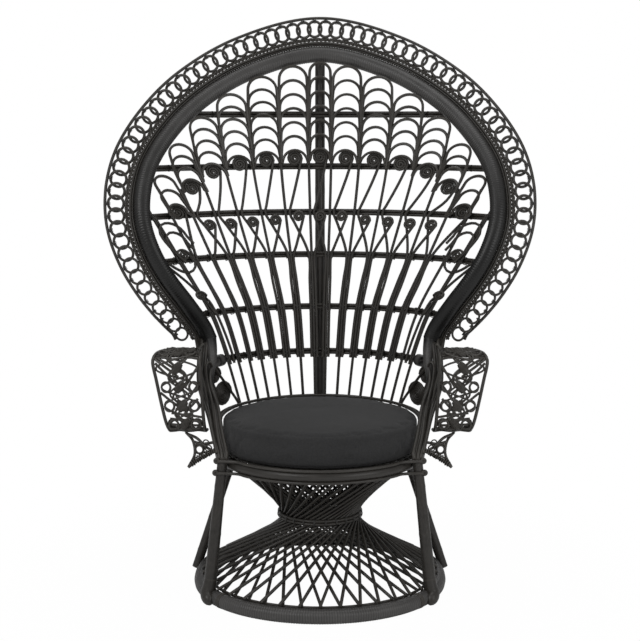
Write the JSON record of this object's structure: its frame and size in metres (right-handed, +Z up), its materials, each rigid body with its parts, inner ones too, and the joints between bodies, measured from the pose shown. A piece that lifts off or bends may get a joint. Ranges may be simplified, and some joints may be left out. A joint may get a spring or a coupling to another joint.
{
  "type": "peacock chair",
  "caption": "High-backed rattan lounge chair with a fan back, ring-edged arch, rolled arms, hourglass cane base and a loose round seat cushion.",
  "frame": {"origin": "middle of the chair's bounding box, on the floor", "axes": "+Z up, +Y towards the back of the chair, +X to the right as seen from the front, so the sitter looks along -Y"},
  "size_m": [1.1344, 0.7134, 1.4959],
  "materials": {
    "cane": "black stained rattan cane with a satin lacquer",
    "pole": "black stained rattan pole with a satin lacquer",
    "wrap": "black stained split cane binding, closely wound",
    "weave": "black stained woven cane",
    "cloth": "plain dark grey woven cloth"
  },
  "bodies": {
    "chair": {"arch_band": "wrap", "arch_braid": "wrap", "arch_rim": "cane", "arm_inner_rail_left": "cane", "arm_inner_rail_right": "cane", "arm_outer_rail_left": "cane", "arm_outer_rail_right": "cane", "arm_panel_left": "cane", "arm_panel_right": "cane", "arm_tail_left": "cane", "arm_tail_right": "cane", "base_canes_inner": "cane", "base_canes_outer": "cane", "base_ring": "wrap", "centre_pole": "pole", "foot_wrap_left": "wrap", "foot_wrap_right": "wrap", "front_leg_left": "pole", "front_leg_right": "pole", "front_post_left": "cane", "front_post_right": "cane", "rail_1": "pole", "rail_2": "pole", "rail_3": "pole", "rail_4": "pole", "rail_5": "pole", "rail_6": "pole", "rear_leg_left": "pole", "rear_leg_right": "pole", "ring_border": "cane", "scallops_1": "cane", "scallops_2": "cane", "scallops_3": "cane", "scallops_4": "cane", "scallops_5": "cane", "seat_binder_lower": "cane", "seat_binder_upper": "cane", "seat_deck": "weave", "seat_ring": "pole", "side_scroll_left": "cane", "side_scroll_right": "cane", "spoke_left_1": "cane", "spoke_left_2": "cane", "spoke_left_3": "cane", "spoke_left_4": "cane", "spoke_left_5": "cane", "spoke_left_6": "cane", "spoke_left_7": "cane", "spoke_left_8": "cane", "spoke_right_1": "cane", "spoke_right_2": "cane", "spoke_right_3": "cane", "spoke_right_4": "cane", "spoke_right_5": "cane", "spoke_right_6": "cane", "spoke_right_7": "cane", "spoke_right_8": "cane", "waist_hoop": "cane"},
    "cushion": {"cushion": "cloth"}
  },
  "joints": [
    {"name": "cushion_lift", "type": "slide", "parent": "chair", "child": "cushion", "axis": [0, 0, 1], "range_m": [0, 0.3]}
  ]
}
